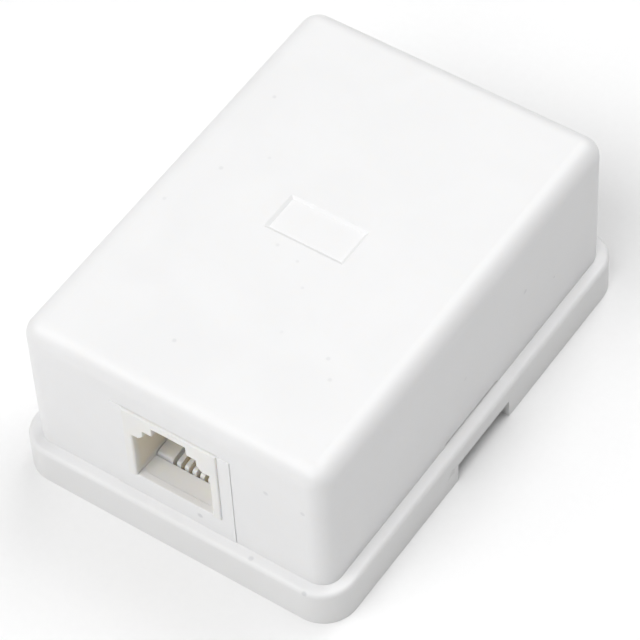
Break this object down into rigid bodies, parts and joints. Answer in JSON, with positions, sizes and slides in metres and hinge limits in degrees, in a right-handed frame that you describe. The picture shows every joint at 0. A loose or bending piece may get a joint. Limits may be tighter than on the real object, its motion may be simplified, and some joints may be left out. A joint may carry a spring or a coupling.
{
  "type": "surface mount jack box",
  "caption": "Surface mount telephone jack box: press-on cover with bare recess, rimmed base with cable notch, front modular jack, screw terminals wired inside.",
  "frame": {"origin": "middle of the back plane of the base, bottom centre of the box", "axes": "+Z away from the wall, jack opening faces -Y, cable notch on the +X long side"},
  "size_m": [0.0422, 0.0586, 0.0239],
  "materials": {
    "white_plastic": "fine-textured moulded ABS",
    "white_plastic_cover": "fine-textured moulded ABS",
    "jack_plastic": "moulded, smoother than the cover",
    "block_plastic": "moulded, natural off-white",
    "gold_wire": "gold-plated phosphor bronze",
    "tinned_brass": "tinned brass sheet",
    "washer_steel": "zinc-plated steel",
    "screw_steel": "nickel-plated steel, turned",
    "lead_yellow": "PVC insulation",
    "lead_green": "PVC insulation",
    "lead_red": "PVC insulation",
    "lead_black": "PVC insulation",
    "foam": "closed-cell foam tape"
  },
  "bodies": {
    "box": {"base": "white_plastic", "jack_housing": "jack_plastic", "contact_block": "block_plastic", "contact_wire_1": "gold_wire", "contact_wire_2": "gold_wire", "contact_wire_3": "gold_wire", "contact_wire_4": "gold_wire", "lead_yellow": "lead_yellow", "lead_green": "lead_green", "lead_red": "lead_red", "lead_black": "lead_black", "spade_lug_1": "tinned_brass", "spade_lug_2": "tinned_brass", "spade_lug_3": "tinned_brass", "spade_lug_4": "tinned_brass", "foam_pad": "foam"},
    "cover": {"cover": "white_plastic_cover"},
    "washer_1": {"terminal_washer_1": "washer_steel"},
    "screw_1": {"terminal_screw_1": "screw_steel"},
    "washer_2": {"terminal_washer_2": "washer_steel"},
    "screw_2": {"terminal_screw_2": "screw_steel"},
    "washer_3": {"terminal_washer_3": "washer_steel"},
    "screw_3": {"terminal_screw_3": "screw_steel"},
    "washer_4": {"terminal_washer_4": "washer_steel"},
    "screw_4": {"terminal_screw_4": "screw_steel"}
  },
  "joints": [
    {"name": "cover_lift", "type": "slide", "parent": "box", "child": "cover", "axis": [0, 0, 1], "range_m": [0, 0.03]},
    {"name": "terminal_1_rise", "type": "slide", "parent": "box", "child": "washer_1", "axis": [0, 0, 1], "range_m": [0, 0.00159]},
    {"name": "terminal_1_turn", "type": "hinge", "parent": "washer_1", "child": "screw_1", "pos_m": [-0.0105, 0.0095, 0.0101], "axis": [0, 0, 1], "range_deg": [0, 720.5]},
    {"name": "terminal_2_rise", "type": "slide", "parent": "box", "child": "washer_2", "axis": [0, 0, 1], "range_m": [0, 0.00159]},
    {"name": "terminal_2_turn", "type": "hinge", "parent": "washer_2", "child": "screw_2", "pos_m": [-0.0105, 0.0193, 0.0101], "axis": [0, 0, 1], "range_deg": [0, 720.5]},
    {"name": "terminal_3_rise", "type": "slide", "parent": "box", "child": "washer_3", "axis": [0, 0, 1], "range_m": [0, 0.00159]},
    {"name": "terminal_3_turn", "type": "hinge", "parent": "washer_3", "child": "screw_3", "pos_m": [0.0105, 0.0193, 0.0101], "axis": [0, 0, 1], "range_deg": [0, 720.5]},
    {"name": "terminal_4_rise", "type": "slide", "parent": "box", "child": "washer_4", "axis": [0, 0, 1], "range_m": [0, 0.00159]},
    {"name": "terminal_4_turn", "type": "hinge", "parent": "washer_4", "child": "screw_4", "pos_m": [0.0105, 0.0095, 0.0101], "axis": [0, 0, 1], "range_deg": [0, 720.5]}
  ],
  "couplings": [
    {"joint": "terminal_1_turn", "follows": "terminal_1_rise", "rad_per_m": 7915.8},
    {"joint": "terminal_2_turn", "follows": "terminal_2_rise", "rad_per_m": 7915.8},
    {"joint": "terminal_3_turn", "follows": "terminal_3_rise", "rad_per_m": 7915.8},
    {"joint": "terminal_4_turn", "follows": "terminal_4_rise", "rad_per_m": 7915.8}
  ]
}
